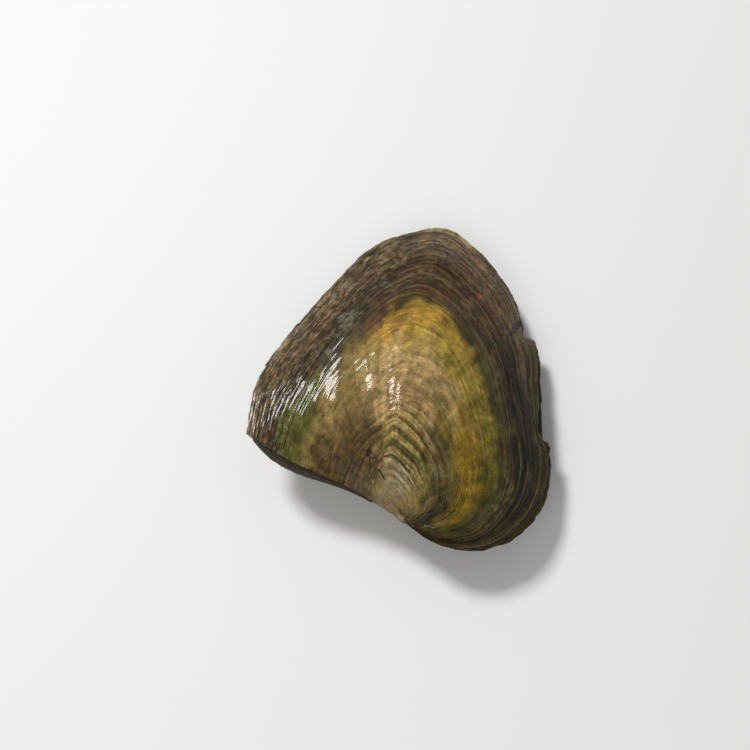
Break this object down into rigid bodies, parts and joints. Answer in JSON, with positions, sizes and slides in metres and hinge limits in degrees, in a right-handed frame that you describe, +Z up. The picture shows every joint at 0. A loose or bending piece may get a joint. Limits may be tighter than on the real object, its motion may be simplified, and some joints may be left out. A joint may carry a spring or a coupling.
{
  "type": "oyster shell",
  "caption": "Closed wedge-shaped pearl mussel shell lying on its side: thin cupped valves meeting rim to rim, joined by a dark ligament along the straight hinge edge.",
  "frame": {"origin": "on the surface that the shell lies on, under the middle of its bounding box", "axes": "+Z up, through the thickness of the shell; +Y along its longest extent, from the beaks towards the rear end; +X towards the free lower margin, so the hinge edge is on the -X and -Y side"},
  "size_m": [0.0962, 0.1164, 0.0323],
  "materials": {
    "shell_skin": "glossy olive-brown periostracum with fine growth lines and a golden band, over shell",
    "ligament": "satin dark brown, finely fibrous"
  },
  "bodies": {
    "root": {"upper_valve": "shell_skin", "lower_valve": "shell_skin", "hinge_ligament": "ligament"}
  },
  "joints": []
}
